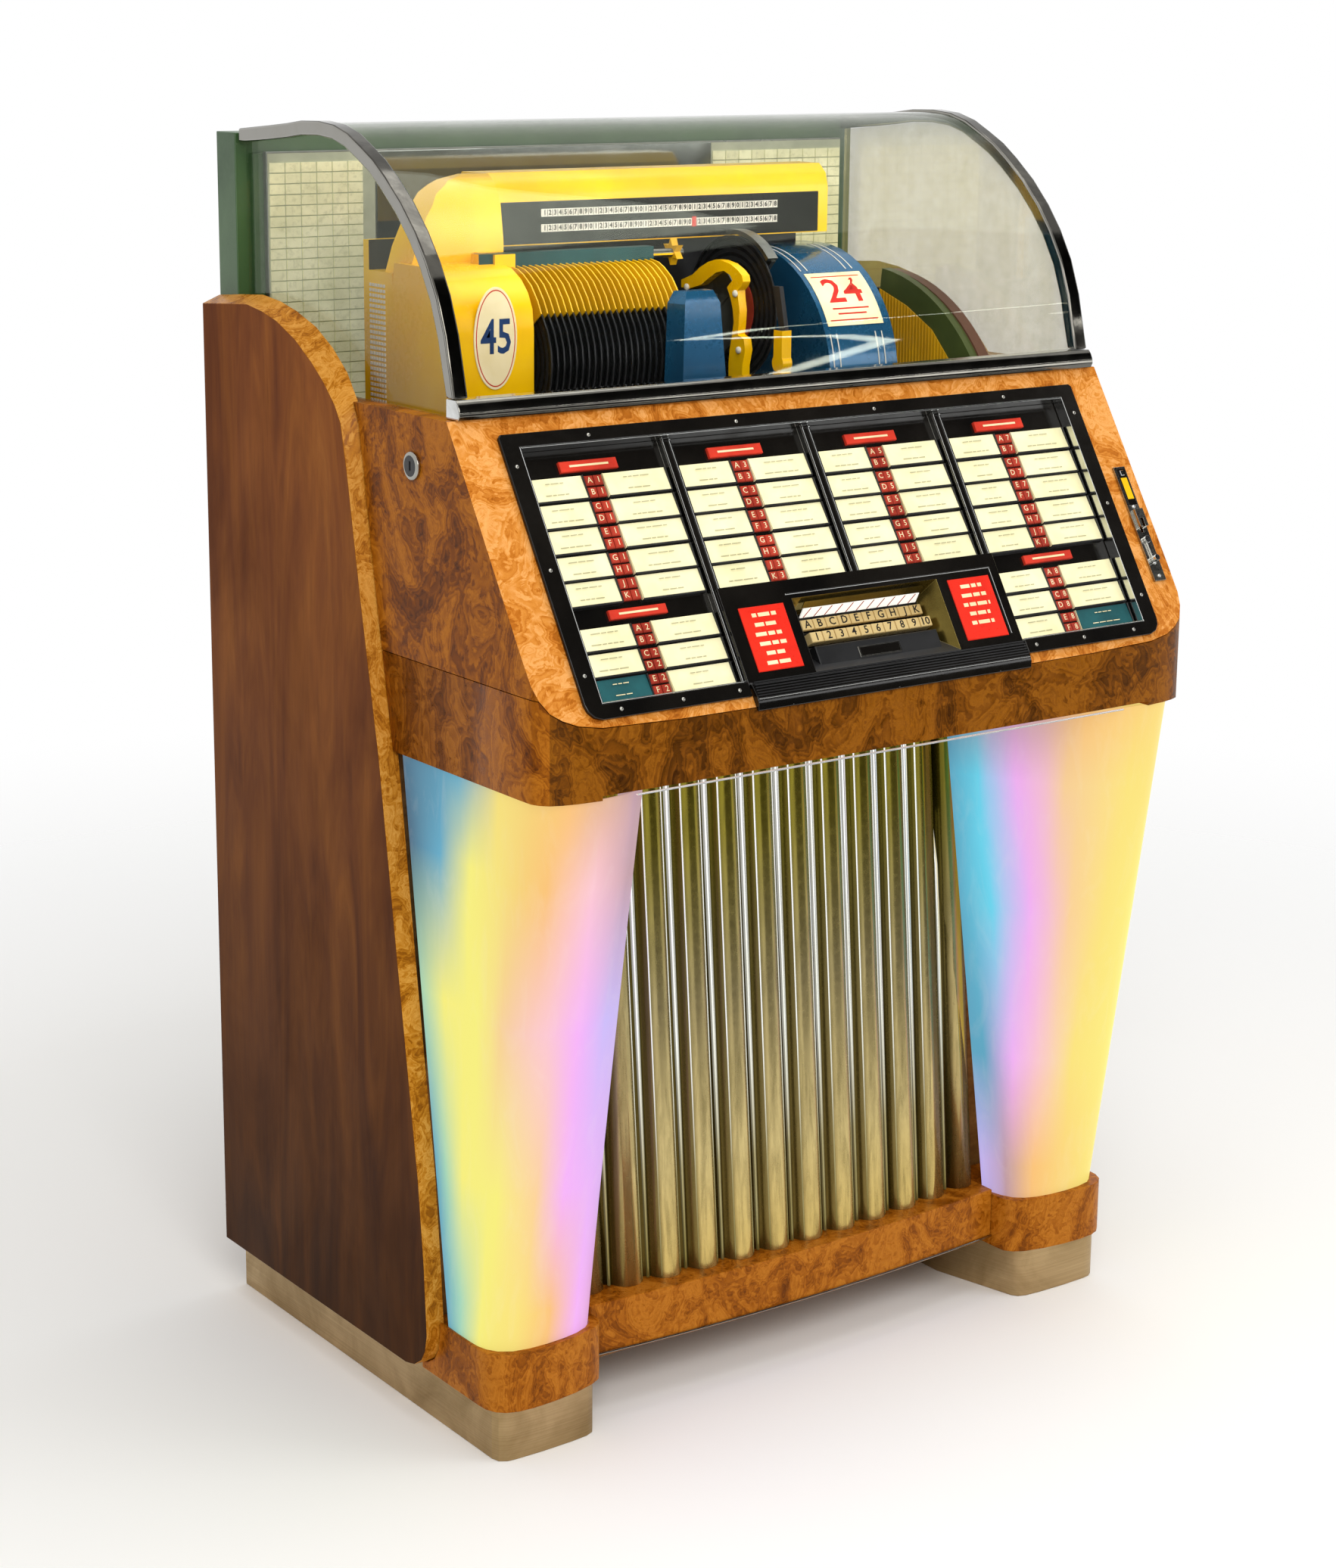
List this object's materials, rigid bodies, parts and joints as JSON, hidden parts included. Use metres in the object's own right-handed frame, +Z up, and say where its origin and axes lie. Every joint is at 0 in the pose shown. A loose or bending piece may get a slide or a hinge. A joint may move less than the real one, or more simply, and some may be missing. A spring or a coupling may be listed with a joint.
{
  "type": "jukebox",
  "caption": "Floor-standing record-playing jukebox with a domed glass lid, title rack, keyboard, lit corner columns, mirrored grille and an open record changer.",
  "frame": {"origin": "middle of the footprint, on the floor under the kick feet and cabinet", "axes": "+X to the machine's right as seen by the player, +Y from the player towards the back, +Z up"},
  "size_m": [0.965, 0.7141, 1.466],
  "materials": {
    "walnut_veneer": "satin lacquer",
    "burl_veneer": "gloss lacquer",
    "plywood": "matt",
    "chrome_trim": "polished",
    "satin_metal": "satin",
    "rainbow_plastic": "ribbed translucent",
    "mirror_tiles": "gold tiles",
    "mirror_wall": "silver tiles",
    "speaker_cone": "matt",
    "green_paint": "satin",
    "lamp_glass": "frosted",
    "colour_film": "translucent",
    "clear_glass": "clear",
    "black_enamel": "gloss",
    "card": "matt",
    "key_plastic": "satin",
    "yellow_paint": "gloss",
    "blue_paint": "gloss metallic",
    "vinyl": "grooved gloss",
    "grey_metal": "satin"
  },
  "bodies": {
    "cabinet": {"cabinet_carcass": "plywood", "left_side_panel": "walnut_veneer", "right_side_panel": "walnut_veneer", "apron": "burl_veneer", "left_foot_cup": "burl_veneer", "right_foot_cup": "burl_veneer", "bottom_rail": "burl_veneer", "left_kick_foot": "satin_metal", "right_kick_foot": "satin_metal", "left_pilaster": "rainbow_plastic", "right_pilaster": "rainbow_plastic", "grille": "mirror_tiles", "loudspeaker": "speaker_cone", "rear_frame": "green_paint", "mirror_back": "mirror_wall", "left_lamp": "lamp_glass", "right_lamp": "lamp_glass", "mechanism_bed": "blue_paint", "record_magazine": "yellow_paint", "record_stack": "vinyl"},
    "lid": {"lid_frame": "burl_veneer", "dome_glass": "clear_glass", "left_side_glass": "clear_glass", "right_side_glass": "clear_glass", "left_arch": "chrome_trim", "right_arch": "chrome_trim", "dome_sill": "chrome_trim", "title_frame": "black_enamel", "title_rack": "card", "keyboard_bezel": "black_enamel", "coin_plate": "chrome_trim"},
    "back_door": {"rear_door": "plywood"},
    "carriage_body": {"carriage": "blue_paint"},
    "gripper": {"transfer_arm": "grey_metal"},
    "playing_disc": {"turntable": "vinyl"},
    "needle_arm": {"tonearm": "yellow_paint"},
    "coin_reject": {"reject_lever": "chrome_trim"},
    "lock": {"lid_lock": "chrome_trim"},
    "left_cylinder": {"left_colour_cylinder": "colour_film"},
    "right_cylinder": {"right_colour_cylinder": "colour_film"},
    "button_a": {"key_a": "key_plastic"},
    "button_b": {"key_b": "key_plastic"},
    "button_c": {"key_c": "key_plastic"},
    "button_d": {"key_d": "key_plastic"},
    "button_e": {"key_e": "key_plastic"},
    "button_f": {"key_f": "key_plastic"},
    "button_g": {"key_g": "key_plastic"},
    "button_h": {"key_h": "key_plastic"},
    "button_j": {"key_j": "key_plastic"},
    "button_k": {"key_k": "key_plastic"},
    "button_1": {"key_1": "key_plastic"},
    "button_2": {"key_2": "key_plastic"},
    "button_3": {"key_3": "key_plastic"},
    "button_4": {"key_4": "key_plastic"},
    "button_5": {"key_5": "key_plastic"},
    "button_6": {"key_6": "key_plastic"},
    "button_7": {"key_7": "key_plastic"},
    "button_8": {"key_8": "key_plastic"},
    "button_9": {"key_9": "key_plastic"},
    "button_10": {"key_10": "key_plastic"}
  },
  "joints": [
    {"name": "dome_lid_lift", "type": "hinge", "parent": "cabinet", "child": "lid", "pos_m": [0, 0.32, 1.449], "axis": [-1, 0, 0], "range_deg": [0, 55]},
    {"name": "carriage_travel", "type": "slide", "parent": "cabinet", "child": "carriage_body", "axis": [1, 0, 0], "range_m": [0, 0.11]},
    {"name": "back_door_swing", "type": "hinge", "parent": "cabinet", "child": "back_door", "pos_m": [0.434, 0.353, 0.474], "axis": [0, 0, -1], "range_deg": [0, 100]},
    {"name": "gripper_swing", "type": "hinge", "parent": "carriage_body", "child": "gripper", "pos_m": [0.093, 0.07, 1.237], "axis": [1, 0, 0], "range_deg": [0, 30]},
    {"name": "needle_arm_swing", "type": "hinge", "parent": "carriage_body", "child": "needle_arm", "pos_m": [0.071, -0.042, 1.182], "axis": [-1, 0, 0], "range_deg": [0, 20]},
    {"name": "coin_reject_tilt", "type": "hinge", "parent": "lid", "child": "coin_reject", "pos_m": [0.443, -0.2832, 0.96846], "axis": [0, -0.8473, 0.5311], "range_deg": [-20, 20]},
    {"name": "dome_lock_turn", "type": "hinge", "parent": "lid", "child": "lock", "pos_m": [-0.467, -0.092, 1.11], "axis": [1, 0, 0], "range_deg": [0, 90]},
    {"name": "playing_disc_spin", "type": "hinge", "parent": "carriage_body", "child": "playing_disc", "pos_m": [0.082, 0.07, 1.237], "axis": [1, 0, 0], "continuous": true},
    {"name": "left_cylinder_spin", "type": "hinge", "parent": "cabinet", "child": "left_cylinder", "pos_m": [-0.386, -0.168, 0.43], "axis": [0, 0, 1], "continuous": true},
    {"name": "right_cylinder_spin", "type": "hinge", "parent": "cabinet", "child": "right_cylinder", "pos_m": [0.386, -0.168, 0.43], "axis": [0, 0, 1], "continuous": true},
    {"name": "key_a_press", "type": "slide", "parent": "lid", "child": "button_a", "axis": [0, 0.8473, -0.5311], "range_m": [0, 0.002], "stiffness_N_per_m": 250, "springref_m": -0.002},
    {"name": "key_b_press", "type": "slide", "parent": "lid", "child": "button_b", "axis": [0, 0.8473, -0.5311], "range_m": [0, 0.002], "stiffness_N_per_m": 250, "springref_m": -0.002},
    {"name": "key_c_press", "type": "slide", "parent": "lid", "child": "button_c", "axis": [0, 0.8473, -0.5311], "range_m": [0, 0.002], "stiffness_N_per_m": 250, "springref_m": -0.002},
    {"name": "key_d_press", "type": "slide", "parent": "lid", "child": "button_d", "axis": [0, 0.8473, -0.5311], "range_m": [0, 0.002], "stiffness_N_per_m": 250, "springref_m": -0.002},
    {"name": "key_e_press", "type": "slide", "parent": "lid", "child": "button_e", "axis": [0, 0.8473, -0.5311], "range_m": [0, 0.002], "stiffness_N_per_m": 250, "springref_m": -0.002},
    {"name": "key_f_press", "type": "slide", "parent": "lid", "child": "button_f", "axis": [0, 0.8473, -0.5311], "range_m": [0, 0.002], "stiffness_N_per_m": 250, "springref_m": -0.002},
    {"name": "key_g_press", "type": "slide", "parent": "lid", "child": "button_g", "axis": [0, 0.8473, -0.5311], "range_m": [0, 0.002], "stiffness_N_per_m": 250, "springref_m": -0.002},
    {"name": "key_h_press", "type": "slide", "parent": "lid", "child": "button_h", "axis": [0, 0.8473, -0.5311], "range_m": [0, 0.002], "stiffness_N_per_m": 250, "springref_m": -0.002},
    {"name": "key_j_press", "type": "slide", "parent": "lid", "child": "button_j", "axis": [0, 0.8473, -0.5311], "range_m": [0, 0.002], "stiffness_N_per_m": 250, "springref_m": -0.002},
    {"name": "key_k_press", "type": "slide", "parent": "lid", "child": "button_k", "axis": [0, 0.8473, -0.5311], "range_m": [0, 0.002], "stiffness_N_per_m": 250, "springref_m": -0.002},
    {"name": "key_1_press", "type": "slide", "parent": "lid", "child": "button_1", "axis": [0, 0.8473, -0.5311], "range_m": [0, 0.002], "stiffness_N_per_m": 250, "springref_m": -0.002},
    {"name": "key_2_press", "type": "slide", "parent": "lid", "child": "button_2", "axis": [0, 0.8473, -0.5311], "range_m": [0, 0.002], "stiffness_N_per_m": 250, "springref_m": -0.002},
    {"name": "key_3_press", "type": "slide", "parent": "lid", "child": "button_3", "axis": [0, 0.8473, -0.5311], "range_m": [0, 0.002], "stiffness_N_per_m": 250, "springref_m": -0.002},
    {"name": "key_4_press", "type": "slide", "parent": "lid", "child": "button_4", "axis": [0, 0.8473, -0.5311], "range_m": [0, 0.002], "stiffness_N_per_m": 250, "springref_m": -0.002},
    {"name": "key_5_press", "type": "slide", "parent": "lid", "child": "button_5", "axis": [0, 0.8473, -0.5311], "range_m": [0, 0.002], "stiffness_N_per_m": 250, "springref_m": -0.002},
    {"name": "key_6_press", "type": "slide", "parent": "lid", "child": "button_6", "axis": [0, 0.8473, -0.5311], "range_m": [0, 0.002], "stiffness_N_per_m": 250, "springref_m": -0.002},
    {"name": "key_7_press", "type": "slide", "parent": "lid", "child": "button_7", "axis": [0, 0.8473, -0.5311], "range_m": [0, 0.002], "stiffness_N_per_m": 250, "springref_m": -0.002},
    {"name": "key_8_press", "type": "slide", "parent": "lid", "child": "button_8", "axis": [0, 0.8473, -0.5311], "range_m": [0, 0.002], "stiffness_N_per_m": 250, "springref_m": -0.002},
    {"name": "key_9_press", "type": "slide", "parent": "lid", "child": "button_9", "axis": [0, 0.8473, -0.5311], "range_m": [0, 0.002], "stiffness_N_per_m": 250, "springref_m": -0.002},
    {"name": "key_10_press", "type": "slide", "parent": "lid", "child": "button_10", "axis": [0, 0.8473, -0.5311], "range_m": [0, 0.002], "stiffness_N_per_m": 250, "springref_m": -0.002}
  ],
  "couplings": [
    {"joint": "right_cylinder_spin", "follows": "left_cylinder_spin", "ratio": 1}
  ]
}
